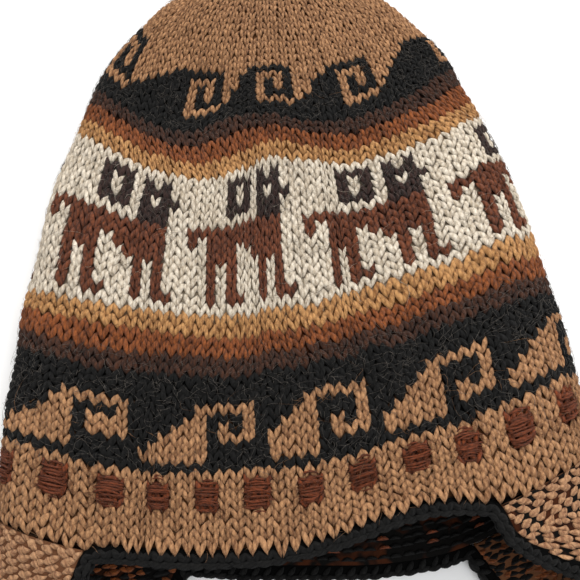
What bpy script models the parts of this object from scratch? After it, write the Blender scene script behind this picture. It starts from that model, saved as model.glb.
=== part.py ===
# Chullo hat lying on its back: a knitted tube that is closed at the crown, two ear flaps
# that go on from its brim, and one crocheted edging round the whole rim.
# The crown points to +Y, the opening to -Y, and the back lies on the plane z = 0.
import math

import bmesh
import bpy
import numpy as np
from mathutils import Matrix

# Knitted body, in metres
HAT_LENGTH = 0.2635         # crown to knitted edge, measured flat along the front centre
BRIM_WIDTH = 0.236          # width of the flattened tube where it is widest
FRONT_RISE = 0.035          # front centre above the middle of the side folds, at the brim
FOLD_RADIUS = 0.009         # outer radius of the side folds on the table side
KNIT_WALL = 0.004           # thickness of the knitted fabric
BACK_EXTRA = 0.0065         # how much longer the flat back is than the domed front
LEFT_FOLD_SHORT = 0.0185    # how far the left fold ends short of the front centre
RIGHT_FOLD_SHORT = 0.0315   # how far the right fold ends short of the front centre
BACK_SKEW = 0.0075          # slant of the back edge

# Stitches round the brim, counted from the front centre to the right
STITCHES_AROUND = 104
RIGHT_FLAP_FROM = 14.5
RIGHT_FLAP_TO = 39.5
LEFT_FLAP_FROM = 62.5
LEFT_FLAP_TO = 88.5

# Ear flaps
FLAP_LENGTH = 0.085         # from the front edge of the body to the end of the flap
FLAP_FOLD_RADIUS = 0.009    # outer radius where a flap folds over itself
FLAP_SHARE_ON_TOP = 0.36    # share of a flap's width past its fold, at the brim
FLAP_BLEND = 0.32           # share of the length over which the brim's shape fades out
ROWS_CLOSE_UP = 0.1         # how much closer the mesh rows lie towards a flap's end
RIGHT_FLAP_OPENS = 0.80     # share of the length over which the fold runs out
LEFT_FLAP_OPENS = 0.95
FOLD_RUN_OUT = 1.5          # power of the part past the fold as it runs out
FOLD_TURNS_BY = 0.04        # share on top at which the fold has mostly turned over
FLAP_SWING = 0.026          # how far the end lies inward of a straight flap

# Crocheted edging
EDGING_DIAMETER = 0.0046
EDGING_GAP = 0.0007
SEAM_GAP = 0.0006           # between the body and a flap
LEAST_MITER = 0.6           # cosine that limits how far a corner is mitred

# Sections from the crown to the brim. Columns: distance from the crown as a share of
# HAT_LENGTH, width as a share of BRIM_WIDTH, rise as a share of FRONT_RISE.
BODY_SECTIONS = {
    "distance": (0.000, 0.100, 0.215, 0.315, 0.457, 0.600, 0.883, 1.000),
    "width": (0.000, 0.481, 0.677, 0.761, 0.862, 0.923, 0.991, 1.000),
    "rise": (0.000, 0.486, 0.600, 0.657, 0.729, 0.800, 0.943, 1.000),
}

# Dents in the front. Columns: place across as a share of half BRIM_WIDTH, place along as a
# share of HAT_LENGTH, depth as a share of FRONT_RISE, reach as a share of BRIM_WIDTH.
FRONT_DENTS = {
    "across": (-0.33, -0.08, 0.35),
    "along": (0.30, 0.33, 0.62),
    "depth": (0.24, -0.09, 0.07),
    "reach": (0.090, 0.055, 0.120),
}

# Widths of a flap. Columns: share of its length, share of its width at the brim.
FLAP_SECTIONS = {
    "along": (0.00, 0.10, 0.20, 0.40, 0.60, 0.75, 0.87, 0.94, 0.98, 1.00),
    "width": (1.00, 0.94, 0.85, 0.63, 0.43, 0.32, 0.25, 0.18, 0.12, 0.06),
}

# Mesh density
BODY_ROWS = 20
FLAP_ROWS = 15
FRONT_COLUMNS = 10
FLAP_COLUMNS = 22
BACK_COLUMNS = 6
RIM_STRIP = 0.012           # share of the length in the narrow strip beside a seam
CROWN_CROWDING = 1.3        # power that draws the body's rows closer towards the crown
ROW_ABOVE = 0.03            # share of the length up to the row that gives the brim's slope
LOOP_SAMPLES = 720
MERIDIAN_SAMPLES = 600

COLOURS = {
    "camel_knit": (0.46, 0.26, 0.12, 1.0),
    "black_crochet": (0.012, 0.013, 0.014, 1.0),
}


def clearScene():
    for old in list(bpy.data.objects):
        bpy.data.objects.remove(old, do_unlink=True)


def squaredShare(column, distance):
    # A smooth curve through the squares of a column, so that the crown ends round
    places = np.array(BODY_SECTIONS["distance"])
    squares = np.array(BODY_SECTIONS[column]) ** 2
    slopes = np.gradient(squares, places)
    share = np.asarray(distance, dtype=float) / HAT_LENGTH
    index = np.clip(np.searchsorted(places, share) - 1, 0, len(places) - 2)
    step = places[index + 1] - places[index]
    part = (share - places[index]) / step
    inside = np.clip(part, 0.0, 1.0)
    start = (1 + 2 * inside) * (1 - inside) ** 2 * squares[index]
    start += inside * (1 - inside) ** 2 * step * slopes[index]
    end = inside ** 2 * (3 - 2 * inside) * squares[index + 1]
    end += inside ** 2 * (inside - 1) * step * slopes[index + 1]
    beyond = np.maximum(part - 1.0, 0.0) * step * slopes[index + 1]
    return np.maximum(start + end + beyond, 0.0)


def halfWidth(distance):
    return 0.5 * BRIM_WIDTH * np.sqrt(squaredShare("width", distance))


def frontRise(distance):
    return FRONT_RISE * np.sqrt(squaredShare("rise", distance))


def frontHeight(across, distance):
    # The front is half an ellipse over the middle of the folds, less its dents
    inside = 1.0 - (across / np.maximum(halfWidth(distance), 1e-9)) ** 2
    arch = np.sqrt(np.clip(inside, 0.0, 1.0))
    height = FOLD_RADIUS + frontRise(distance) * arch
    for place, along, depth, reach in zip(*FRONT_DENTS.values()):
        sideways = across - 0.5 * BRIM_WIDTH * place
        lengthways = distance - HAT_LENGTH * along
        spread = 2.0 * (BRIM_WIDTH * reach) ** 2
        height = height - arch * FRONT_RISE * depth * np.exp(-(sideways ** 2 + lengthways ** 2) / spread)
    return height


def backHeight(across, distance):
    # The back is flat and turns up into the folds along quarter circles
    small = 1e-5
    slope = (halfWidth(distance + small) ** 2 - halfWidth(distance) ** 2) / small
    inset = (halfWidth(distance) ** 2 - across ** 2) / np.sqrt(4.0 * across ** 2 + slope ** 2 + 1e-12)
    turn = np.clip(1.0 - inset / FOLD_RADIUS, 0.0, 1.0)
    return FOLD_RADIUS * (1.0 - np.sqrt(1.0 - turn ** 2))


def distanceAt(share, lastDistance, line):
    # Distance from the crown where a share of the length of one meridian is used up
    distance = lastDistance * np.linspace(0.0, 1.0, MERIDIAN_SAMPLES) ** 2
    other = {"front": frontHeight(0.0 * distance, distance),
             "side": halfWidth(distance),
             "back": backHeight(0.0 * distance, distance)}[line]
    steps = np.hypot(np.diff(distance), np.diff(other))
    used = np.concatenate(([0.0], np.cumsum(steps)))
    return float(np.interp(share * used[-1], used, distance))


def knitRow(share):
    # One closed row of stitches, dense points, from the front centre to the right and round
    front = distanceAt(share, HAT_LENGTH, "front")
    back = distanceAt(share, HAT_LENGTH + BACK_EXTRA, "back")
    left = distanceAt(share, HAT_LENGTH - LEFT_FOLD_SHORT, "side")
    right = distanceAt(share, HAT_LENGTH - RIGHT_FOLD_SHORT, "side")
    leftWidth = float(halfWidth(left))
    rightWidth = float(halfWidth(right))
    turn = np.linspace(0.0, 2.0 * math.pi, LOOP_SAMPLES + 1)
    side = np.sin(turn)
    onFront = np.cos(turn) >= 0.0
    across = 0.5 * (rightWidth - leftWidth) + 0.5 * (rightWidth + leftWidth) * side
    lean = 0.5 * (right - left)
    middle = 0.5 * (right + left)
    frontLine = front + lean * side + (middle - front) * side ** 2
    backLine = back + lean * side ** 3 + (middle - back) * np.abs(side) ** 3
    backLine = backLine + BACK_SKEW * share * side * (1.0 - side ** 2)
    distance = np.where(onFront, frontLine, backLine)
    height = np.where(onFront, frontHeight(across, distance), backHeight(across, distance))
    return np.stack((across, -distance, height), axis=1)


def pointsOnRow(row, around):
    # Points of a row at shares of its own length
    steps = np.linalg.norm(np.diff(row, axis=0), axis=1)
    used = np.concatenate(([0.0], np.cumsum(steps)))
    wanted = np.mod(np.asarray(around, dtype=float), 1.0) * used[-1]
    return np.stack([np.interp(wanted, used, row[:, axis]) for axis in range(3)], axis=1)


def rowLength(row):
    return float(np.linalg.norm(np.diff(row, axis=0), axis=1).sum())


def columnShares():
    # Columns of the body, so that the flaps' corners fall on columns
    bounds = (RIGHT_FLAP_FROM, RIGHT_FLAP_TO, LEFT_FLAP_FROM, LEFT_FLAP_TO,
              RIGHT_FLAP_FROM + STITCHES_AROUND)
    counts = (FLAP_COLUMNS, BACK_COLUMNS, FLAP_COLUMNS, FRONT_COLUMNS)
    shares = []
    for start, end, count in zip(bounds[:-1], bounds[1:], counts):
        shares.extend(np.linspace(start, end, count, endpoint=False) / STITCHES_AROUND)
    return np.array(shares)


def meshFromGrid(name, grid, closed, tip=None):
    # Quads between the rows of a grid, and a fan to the tip where there is one
    mesh = bpy.data.meshes.new(name)
    build = bmesh.new()
    rows = [[build.verts.new(point) for point in row] for row in grid]
    for upper, lower in zip(rows[:-1], rows[1:]):
        count = len(upper) if closed else len(upper) - 1
        for i in range(count):
            j = (i + 1) % len(upper)
            build.faces.new((upper[i], lower[i], lower[j], upper[j]))
    if tip is not None:
        pole = build.verts.new(tip)
        for i in range(len(rows[0])):
            j = (i + 1) % len(rows[0])
            build.faces.new((pole, rows[0][i], rows[0][j]))
    build.to_mesh(mesh)
    build.free()
    return mesh


def addFabric(name, mesh, material, collection):
    fabric = bpy.data.objects.new(name, mesh)
    collection.objects.link(fabric)
    fabric.data.materials.append(material)
    wall = fabric.modifiers.new("fabric wall", "SOLIDIFY")
    wall.thickness = KNIT_WALL
    wall.offset = -1.0
    wall.use_even_offset = False
    wall.use_quality_normals = True
    fabric.data.shade_smooth()
    return fabric


def bodyGrid():
    # Rows from the crown's first ring to the brim, closer together near the crown.
    # A narrow last strip sets the direction of the rim's face.
    around = columnShares()
    shares = (np.arange(1, BODY_ROWS + 1) / BODY_ROWS) ** CROWN_CROWDING
    shares = np.insert(shares, -1, 1.0 - RIM_STRIP)
    return [pointsOnRow(knitRow(share), around) for share in shares]


def rolledSection(fromBack, width, onTop, backEdge, side):
    # Section of a flap that lies flat from its back edge and then folds over itself
    turn = math.pi * (1.0 - math.exp(-onTop / FOLD_TURNS_BY))
    lying = max(width - onTop * width - FLAP_FOLD_RADIUS * turn, 0.0)
    bent = np.clip((fromBack - lying) / FLAP_FOLD_RADIUS, 0.0, turn)
    past = np.maximum(fromBack - lying - FLAP_FOLD_RADIUS * turn, 0.0)
    reach = np.minimum(fromBack, lying) + FLAP_FOLD_RADIUS * np.sin(bent) + past * math.cos(turn)
    height = FLAP_FOLD_RADIUS * (1.0 - np.cos(bent)) + past * math.sin(turn)
    return side * (backEdge + reach), height


def flapGrid(side, first, last, opens):
    # Rows of a flap from the brim to its end, each from the front edge to the back edge
    brim = knitRow(1.0)
    above = knitRow(1.0 - ROW_ABOVE)
    brimLength = rowLength(brim)
    middle = 0.5 * (first + last) / STITCHES_AROUND
    halfSpan = 0.5 * (last - first) / STITCHES_AROUND
    across = np.linspace(-1.0, 1.0, FLAP_COLUMNS + 1)
    endDistance = HAT_LENGTH + FLAP_LENGTH
    grid = []
    rows = np.linspace(0.0, 1.0, FLAP_ROWS + 1)
    rows = rows + ROWS_CLOSE_UP * np.sin(math.pi * rows)
    for along in np.insert(rows, 1, RIM_STRIP):
        share = np.interp(along, FLAP_SECTIONS["along"], FLAP_SECTIONS["width"])
        around = middle + side * across * halfSpan * share
        hanging = pointsOnRow(brim, around)
        downward = hanging - pointsOnRow(above, around)
        drift = downward / -downward[:, 1:2]
        slant = np.sum(unit(downward) * unit(np.gradient(hanging, axis=0)), axis=1)
        width = 2.0 * halfSpan * brimLength * share
        fromBack = 0.5 * (1.0 - across) * width
        onTop = FLAP_SHARE_ON_TOP * max(1.0 - along / opens, 0.0) ** FOLD_RUN_OUT
        reach, height = rolledSection(fromBack, width, onTop, side * hanging[-1, 0], side)
        blend = min(max(along - rows[1], 0.0) / FLAP_BLEND, 1.0)
        blend = blend * blend * (3.0 - 2.0 * blend)
        swing = side * FLAP_SWING * along ** 2
        start = SEAM_GAP / np.sqrt(1.0 - slant ** 2) - hanging[:, 1]
        fallen = along * (endDistance - start)
        x = (1.0 - blend) * (hanging[:, 0] + drift[:, 0] * fallen) + blend * reach - swing
        z = (1.0 - blend) * (hanging[:, 2] + drift[:, 2] * fallen) + blend * height
        grid.append(np.stack((x, -start - fallen, z), axis=1))
    return np.array(grid)


def intoFabric(grid, side):
    # Unit vectors into the fabric at every point of a flap, whose columns run front to back
    down = np.gradient(grid, axis=0)
    over = np.gradient(grid, axis=1)
    return -side * unit(np.cross(down, over))


def unit(vectors):
    return vectors / np.linalg.norm(vectors, axis=-1, keepdims=True)


def flapRim(grid, side, reverse):
    # Points on a flap's rim and directions into the fabric: one long edge, the end, the other edge.
    # The narrow strip beside the seam is left out, so that the corner keeps room for its miter.
    into = np.delete(intoFabric(grid, side), 1, axis=0)
    grid = np.delete(grid, 1, axis=0)
    if reverse:
        grid = grid[:, ::-1]
        into = into[:, ::-1]
    points = np.concatenate((grid[:, 0], grid[-1, 3:-3:4], grid[::-1, -1]))
    inward = np.concatenate((into[:, 0], into[-1, 3:-3:4], into[::-1, -1]))
    return points, inward


def brimRim(first, last, count):
    # Points on the body's edge and directions into the fabric, between two flaps
    around = np.linspace(first, last, count + 1)[1:-1] / STITCHES_AROUND
    edge = pointsOnRow(knitRow(1.0), around)
    down = edge - pointsOnRow(knitRow(1.0 - ROW_ABOVE), around)
    ahead = pointsOnRow(knitRow(1.0), around + 1e-3) - edge
    return edge, -unit(np.cross(down, ahead))


def edgingLine(leftGrid, rightGrid):
    # The closed line of the edging: front edge, right flap, back edge, left flap.
    # It runs beside the middle of the fabric, mitred at the corners.
    runs = (
        brimRim(LEFT_FLAP_TO, RIGHT_FLAP_FROM + STITCHES_AROUND, FRONT_COLUMNS),
        flapRim(rightGrid, 1.0, False),
        brimRim(RIGHT_FLAP_TO, LEFT_FLAP_FROM, BACK_COLUMNS),
        flapRim(leftGrid, -1.0, True),
    )
    rim = np.concatenate([points + 0.5 * KNIT_WALL * inward for points, inward in runs])
    into = np.concatenate([inward for points, inward in runs])
    ahead = unit(np.roll(rim, -1, axis=0) - rim)
    behind = np.roll(ahead, 1, axis=0)
    along = unit(ahead + behind)
    miter = 1.0 / np.maximum(np.sum(along * ahead, axis=1, keepdims=True), LEAST_MITER)
    outward = unit(np.cross(into, along))
    line = rim + outward * miter * (0.5 * EDGING_DIAMETER + EDGING_GAP)
    line[:, 2] = np.maximum(line[:, 2], 0.5 * EDGING_DIAMETER)
    return line


def addEdging(name, line, material, collection):
    curve = bpy.data.curves.new(name, "CURVE")
    curve.dimensions = "3D"
    curve.bevel_depth = 0.5 * EDGING_DIAMETER
    curve.bevel_resolution = 2
    spline = curve.splines.new("POLY")
    spline.points.add(len(line) - 1)
    for point, place in zip(spline.points, line):
        point.co = (*place, 1.0)
    spline.use_cyclic_u = True
    edging = bpy.data.objects.new(name, curve)
    edging.data.materials.append(material)
    collection.objects.link(edging)
    return edging


def makeMaterial(name, roughness):
    material = bpy.data.materials.new(name)
    material.use_nodes = True
    shader = material.node_tree.nodes["Principled BSDF"]
    shader.inputs["Base Color"].default_value = COLOURS[name]
    shader.inputs["Roughness"].default_value = roughness
    shader.inputs["Metallic"].default_value = 0.0
    material.diffuse_color = COLOURS[name]
    return material


def moveToOrigin(fabrics, line):
    # The middle of the hat's box on the plane it rests on becomes the origin
    points = [line - 0.5 * EDGING_DIAMETER, line + 0.5 * EDGING_DIAMETER]
    points.extend(np.array([vertex.co for vertex in fabric.data.vertices]) for fabric in fabrics)
    points = np.concatenate(points)
    middle = 0.5 * (points.min(axis=0) + points.max(axis=0))
    shift = np.array((middle[0], middle[1], 0.0))
    for fabric in fabrics:
        fabric.data.transform(Matrix.Translation(-shift))
    return line - shift


def main():
    clearScene()
    hat = bpy.data.collections.new("chullo_hat")
    bpy.context.scene.collection.children.link(hat)
    camel = makeMaterial("camel_knit", 0.95)
    black = makeMaterial("black_crochet", 0.95)
    rightGrid = flapGrid(1.0, RIGHT_FLAP_FROM, RIGHT_FLAP_TO, RIGHT_FLAP_OPENS)
    leftGrid = flapGrid(-1.0, LEFT_FLAP_FROM, LEFT_FLAP_TO, LEFT_FLAP_OPENS)
    crown = (0.0, 0.0, FOLD_RADIUS)
    meshes = {
        "knit_body": meshFromGrid("knit_body", bodyGrid(), True, crown),
        "ear_flap_left": meshFromGrid("ear_flap_left", leftGrid[:, ::-1], False),
        "ear_flap_right": meshFromGrid("ear_flap_right", rightGrid, False),
    }
    fabrics = [addFabric(name, mesh, camel, hat) for name, mesh in meshes.items()]
    line = moveToOrigin(fabrics, edgingLine(leftGrid, rightGrid))
    addEdging("crochet_edging", line, black, hat)


main()
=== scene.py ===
import math
import bmesh
import bpy
import numpy as np
from mathutils import Matrix, Vector


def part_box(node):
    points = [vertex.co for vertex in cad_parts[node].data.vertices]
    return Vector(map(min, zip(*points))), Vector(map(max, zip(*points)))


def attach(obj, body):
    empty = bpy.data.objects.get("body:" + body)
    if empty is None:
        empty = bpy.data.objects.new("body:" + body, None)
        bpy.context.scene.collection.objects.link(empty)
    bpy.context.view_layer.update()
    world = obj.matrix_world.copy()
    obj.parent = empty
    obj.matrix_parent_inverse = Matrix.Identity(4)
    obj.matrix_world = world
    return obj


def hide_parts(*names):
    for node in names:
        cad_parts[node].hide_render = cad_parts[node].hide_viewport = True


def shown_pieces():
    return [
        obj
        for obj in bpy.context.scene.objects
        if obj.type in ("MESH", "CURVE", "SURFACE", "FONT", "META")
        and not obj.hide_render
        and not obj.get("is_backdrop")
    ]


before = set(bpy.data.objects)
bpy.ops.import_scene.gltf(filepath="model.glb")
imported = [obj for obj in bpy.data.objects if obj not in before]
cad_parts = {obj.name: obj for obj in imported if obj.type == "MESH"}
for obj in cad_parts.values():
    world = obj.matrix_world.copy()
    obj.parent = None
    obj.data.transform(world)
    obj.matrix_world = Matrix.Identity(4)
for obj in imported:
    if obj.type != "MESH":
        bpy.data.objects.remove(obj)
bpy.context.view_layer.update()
chance = np.random.default_rng(26)

# The hat's outer surface, in metres, measured from the crown's tip towards the brim
hatShape = {
    "length": 0.2635,
    "brimWidth": 0.236,
    "frontRise": 0.035,
    "foldRadius": 0.009,
    "backExtra": 0.0065,
    "leftShort": 0.0185,
    "rightShort": 0.0315,
    "backSkew": 0.0075,
}
bodySections = {
    "distance": (0.000, 0.100, 0.215, 0.315, 0.457, 0.600, 0.883, 1.000),
    "width": (0.000, 0.481, 0.677, 0.761, 0.862, 0.923, 0.991, 1.000),
    "rise": (0.000, 0.486, 0.600, 0.657, 0.729, 0.800, 0.943, 1.000),
}
# Hollows (and one swelling) of the front: place across, place along, depth, reach
frontDents = (
    (-0.33, 0.30, 0.24, 0.090),
    (-0.08, 0.33, -0.09, 0.055),
    (0.35, 0.62, 0.07, 0.120),
)

# Rows of stitches are counted up from the brim, and stitches round from the front's middle
knitting = {
    "stitches": 104,
    "rows": 76,
    "crestFrom": 43,        # first row with fewer stitches
    "crestStitches": 91,
    "crownFrom": 53,        # first row whose stitches are counted by the crown's wedges
    "crownWedges": 13,
    "stitchWidth": 0.0034,
    "rowHeight": 0.0037,
    "unevenness": 0.42,     # how far single stitches stray from even ones, 0 to 1
    "ease": 0.0005,         # how far the fabric swells and sinks between stitches
    "underSquares": -0.25,  # height in mm of the stitches that carry the puffed squares
}
# Where lines between rows lie: 76ths of the way from the tip to the brim, at places round the hat
rowLinesAt = (-26, -17, -12.5, -8.5, -5, -2, 1, 7.5, 11, 15, 20, 26)
rowLines = {
    0: (76, 76, 75.2, 75.1, 75.1, 75.0, 74.6, 73.0, 73.8, 76, 76, 76),
    5.5: (71, 70.6, 70.4, 70.2, 70.2, 70.2, 70.1, 69.2, 69.4, 70, 70.6, 71),
    9: (67.4, 67.1, 67.3, 67.3, 66.9, 66.9, 66.8, 66.1, 66, 66.2, 66.5, 67.2),
    15: (61.6, 61.4, 61.4, 61.7, 61.4, 60.9, 60.6, 60.1, 60, 60.1, 60.6, 61.5),
    18: (59.2, 58.9, 58.7, 58.5, 58.7, 58, 57.7, 57.1, 56.9, 57.1, 57.9, 59.2),
    20: (57.4, 57, 56.8, 56.5, 56.7, 56.2, 55.9, 55.1, 55, 55, 56, 57.4),
    22: (55, 54.4, 54.2, 54.4, 54.5, 54, 53.9, 53.1, 52.9, 53, 53.7, 55),
    24: (53.2, 52.4, 52.1, 52.1, 52, 51.6, 51.4, 50.5, 50.2, 50.5, 51.1, 52),
    39: (33.5, 35, 36, 36.2, 35.4, 33.4, 33.2, 35.6, 36, 36.2, 36.3, 36),
    41: (31.8, 33, 33.8, 34.2, 33.2, 31.2, 31.1, 34, 34, 34, 34.4, 34),
    43: (30, 30.5, 31.8, 31.8, 30.4, 28.8, 29.2, 32, 32, 32, 31.8, 31.5),
    45: (28, 29, 29.8, 29.9, 27.9, 27, 28, 30.2, 30.2, 30, 29.6, 29),
    53: (17.6, 20.2, 21.8, 21.5, 21.1, 20.7, 20.6, 22.0, 22.7, 22.6, 23.2, 23.8),
    76: (0,) * 12,
}
# Stitches are wider where the fabric turns away at the sides, and drawn together between the
# llamas: stitch numbers, their places round the waves, and round the llamas
stitchPlaces = {
    "stitch": (-24, -22, -20, -18, -16, -14, -12, -10, -8, -6, -4, -2, 0, 2, 4, 6, 8, 10, 12, 14, 16, 18, 20, 80),
    "waves": (-23.8, -21, -18.3, -16, -13.4, -11.5, -10.1, -8.2, -6.4, -4.8, -2.9, -1, 0.8, 2.6, 4.6, 6.5, 8.6,
              10.6, 12.6, 14.9, 17.2, 20, 22.7, 80.2),
    "llamas": (-23.8, -21.1, -18.4, -15.8, -13.4, -11.5, -9.6, -7.5, -5.9, -4.1, -2.85, -1.6, -0.1, 1.9, 4.1, 5.5,
               7.75, 10.25, 12.75, 15.0, 18.0, 21.2, 23.8, 80.2),
}
# Rows between which the llamas' places take over, and between which the crown's even ones do
llamaRows = (17, 23)
crownRows = (39, 45)


def squaredShare(column, distance):
    places = np.array(bodySections["distance"])
    squares = np.array(bodySections[column]) ** 2
    slopes = np.gradient(squares, places)
    share = np.asarray(distance, dtype=float) / hatShape["length"]
    index = np.clip(np.searchsorted(places, share) - 1, 0, len(places) - 2)
    step = places[index + 1] - places[index]
    part = (share - places[index]) / step
    inside = np.clip(part, 0.0, 1.0)
    start = (1 + 2 * inside) * (1 - inside) ** 2 * squares[index]
    start += inside * (1 - inside) ** 2 * step * slopes[index]
    end = inside ** 2 * (3 - 2 * inside) * squares[index + 1]
    end += inside ** 2 * (inside - 1) * step * slopes[index + 1]
    beyond = np.maximum(part - 1.0, 0.0) * step * slopes[index + 1]
    return np.maximum(start + end + beyond, 0.0)


def halfWidth(distance):
    return 0.5 * hatShape["brimWidth"] * np.sqrt(squaredShare("width", distance))


def frontHeight(across, distance):
    inside = 1.0 - (across / np.maximum(halfWidth(distance), 1e-9)) ** 2
    arch = np.sqrt(np.clip(inside, 0.0, 1.0))
    rise = hatShape["frontRise"]
    height = hatShape["foldRadius"] + rise * np.sqrt(squaredShare("rise", distance)) * arch
    for place, along, depth, reach in frontDents:
        sideways = across - 0.5 * hatShape["brimWidth"] * place
        lengthways = distance - hatShape["length"] * along
        spread = 2.0 * (hatShape["brimWidth"] * reach) ** 2
        height = height - arch * rise * depth * np.exp(-(sideways ** 2 + lengthways ** 2) / spread)
    return height


def backHeight(across, distance):
    small = 1e-5
    width = halfWidth(distance)
    slope = (halfWidth(distance + small) ** 2 - width ** 2) / small
    inset = (width ** 2 - across ** 2) / np.sqrt(4.0 * across ** 2 + slope ** 2 + 1e-12)
    turn = np.clip(1.0 - inset / hatShape["foldRadius"], 0.0, 1.0)
    return hatShape["foldRadius"] * (1.0 - np.sqrt(1.0 - turn ** 2))


def distanceAt(share, last, line):
    # Distance from the tip where a line down the front, a side or the back has used that share
    distance = last * np.linspace(0.0, 1.0, 600) ** 2
    if line == "front":
        other = frontHeight(0.0 * distance, distance)
    elif line == "back":
        other = backHeight(0.0 * distance, distance)
    else:
        other = halfWidth(distance)
    used = np.concatenate(([0.0], np.cumsum(np.hypot(np.diff(distance), np.diff(other)))))
    return float(np.interp(share * used[-1], used, distance))


def knitRow(share):
    # One closed row round the hat, from the front's middle to the right and round the back
    length = hatShape["length"]
    front = distanceAt(share, length, "front")
    back = distanceAt(share, length + hatShape["backExtra"], "back")
    left = distanceAt(share, length - hatShape["leftShort"], "side")
    right = distanceAt(share, length - hatShape["rightShort"], "side")
    leftWidth, rightWidth = float(halfWidth(left)), float(halfWidth(right))
    turn = np.linspace(0.0, 2.0 * math.pi, 721)
    side = np.sin(turn)
    across = 0.5 * (rightWidth - leftWidth) + 0.5 * (rightWidth + leftWidth) * side
    lean, middle = 0.5 * (right - left), 0.5 * (right + left)
    onFront = front + lean * side + (middle - front) * side ** 2
    onBack = back + lean * side ** 3 + (middle - back) * np.abs(side) ** 3
    onBack += hatShape["backSkew"] * share * side * (1.0 - side ** 2)
    isFront = np.cos(turn) >= 0.0
    distance = np.where(isFront, onFront, onBack)
    height = np.where(isFront, frontHeight(across, distance), backHeight(across, distance))
    return np.stack((across, -distance, height), axis=1)


def pointsOnRow(row, around):
    used = np.concatenate(([0.0], np.cumsum(np.linalg.norm(np.diff(row, axis=0), axis=1))))
    wanted = np.mod(np.asarray(around, dtype=float), 1.0) * used[-1]
    return np.stack([np.interp(wanted, used, row[:, axis]) for axis in range(3)], axis=1)


def unit(vectors):
    return vectors / np.maximum(np.linalg.norm(vectors, axis=-1, keepdims=True), 1e-12)


def hatToModel():
    # The CAD model has its middle at the origin: this is where the hat's tip line lies in it
    low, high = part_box("knit_body")
    left = distanceAt(1.0, hatShape["length"] - hatShape["leftShort"], "side")
    right = distanceAt(1.0, hatShape["length"] - hatShape["rightShort"], "side")
    leftAxis = low.x + float(halfWidth(left))
    rightAxis = high.x - float(halfWidth(right))
    return np.array((0.5 * (leftAxis + rightAxis), high.y, 0.0))


def stitchToPlace(stitch, column):
    # The table is for one turn; stitches beyond it come round again
    turns = np.floor((stitch + 24.0) / 104.0)
    inside = stitch - turns * 104.0
    return np.interp(inside, stitchPlaces["stitch"], stitchPlaces[column]) + turns * 104.0


def sheetNormals(points, closed):
    down = -np.gradient(points, axis=0)
    if closed:
        wide = np.concatenate((points[:, -2:-1], points, points[:, 1:2]), axis=1)
        over = np.gradient(wide, axis=1)[:, 1:-1]
    else:
        over = np.gradient(points, axis=1)
    return unit(np.cross(down, over))


def knittedLattice():
    # Points and outward directions of the hat at every quarter row and quarter stitch
    turn, fineColumns, fineRows = float(knitting["stitches"]), 624, 228
    around = np.linspace(0.0, 1.0, fineColumns + 1)
    shares = np.linspace(0.0, 1.0, fineRows + 1)
    surface = np.array([pointsOnRow(knitRow(share), around) for share in shares])
    stitches = np.arange(0, 4 * knitting["stitches"] + 1) / 4.0
    rows = np.arange(0, 4 * knitting["rows"] + 1) / 4.0
    onWaves, onLlamas = stitchToPlace(stitches, "waves"), stitchToPlace(stitches, "llamas")
    at = np.concatenate((rowLinesAt, [rowLinesAt[0] + turn]))
    kernel = np.hanning(27) / np.hanning(27).sum()
    lines = []
    for line in rowLines.values():
        values = np.interp(np.mod(onWaves + 26.0, turn) - 26.0, at, (*line, line[0]))[:-1]
        values = np.convolve(np.concatenate((values[-13:], values, values[:13])), kernel, "valid")
        lines.append(np.append(values, values[0]))
    lines = np.array(lines) / knitting["rows"]
    points = np.empty((len(rows), len(stitches), 3))
    for index, row in enumerate(rows):
        llamaShare = np.interp(row, llamaRows, (0.0, 1.0))
        evenShare = np.interp(row, crownRows, (0.0, 1.0))
        patterned = onWaves * (1.0 - llamaShare) + onLlamas * llamaShare
        place = patterned * (1.0 - evenShare) + stitches * evenShare
        column = np.mod(place / turn, 1.0) * fineColumns
        left = np.minimum(column.astype(int), fineColumns - 1)
        part = (column - left)[:, None]
        share = [np.interp(row, list(rowLines), lines[:, j]) for j in range(len(stitches))]
        share = np.array(share) * fineRows
        above = np.clip(share.astype(int), 0, fineRows - 1)
        down = (share - above)[:, None]
        upper = surface[above, left] * (1 - part) + surface[above, left + 1] * part
        lower = surface[above + 1, left] * (1 - part) + surface[above + 1, left + 1] * part
        points[index] = upper * (1 - down) + lower * down
    normals = sheetNormals(points, True)
    # At the tip the rows close, so their directions are all the tip's own
    normals[-4:] = unit(np.array((0.0, 1.0, 0.3)))
    swell = np.zeros(points.shape[:2])
    for wave in range(14):
        # Soft unevenness of the fabric: waves that close round the hat
        across, along = chance.integers(3, 26), chance.uniform(0.1, 0.7)
        phase = chance.uniform(0.0, 6.28)
        swell += np.sin(stitches * across * 2 * math.pi / turn + (rows * along)[:, None] + phase)
    swell *= knitting["ease"] / 4.0 * np.clip((knitting["rows"] - rows) / 12.0, 0.0, 1.0)[:, None]
    lifted = points + normals * (swell - np.abs(swell).max() * 0.2)[..., None]
    return lifted + hatToModel(), normals


def onLattice(lattice, rows, columns, lifts, closed):
    # Where a row, a column and a height above the fabric lie; rows and columns in lattice steps
    points, normals = lattice
    if closed:
        columns = np.mod(columns, points.shape[1] - 1)
    up = np.clip(np.floor(rows).astype(int), 0, points.shape[0] - 2)
    left = np.clip(np.floor(columns).astype(int), 0, points.shape[1] - 2)
    part, side = (rows - up)[..., None], (columns - left)[..., None]

    def between(values):
        lower = values[up, left] * (1 - side) + values[up, left + 1] * side
        upper = values[up + 1, left] * (1 - side) + values[up + 1, left + 1] * side
        return lower * (1 - part) + upper * part
    return between(points) + between(normals) * lifts[..., None]


def onHat(rows, stitches, lifts):
    place = onLattice(hatLattice, rows * 4.0, stitches * 4.0, lifts, True)
    place[..., 2] = np.maximum(place[..., 2], 0.0001)
    return place


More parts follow.
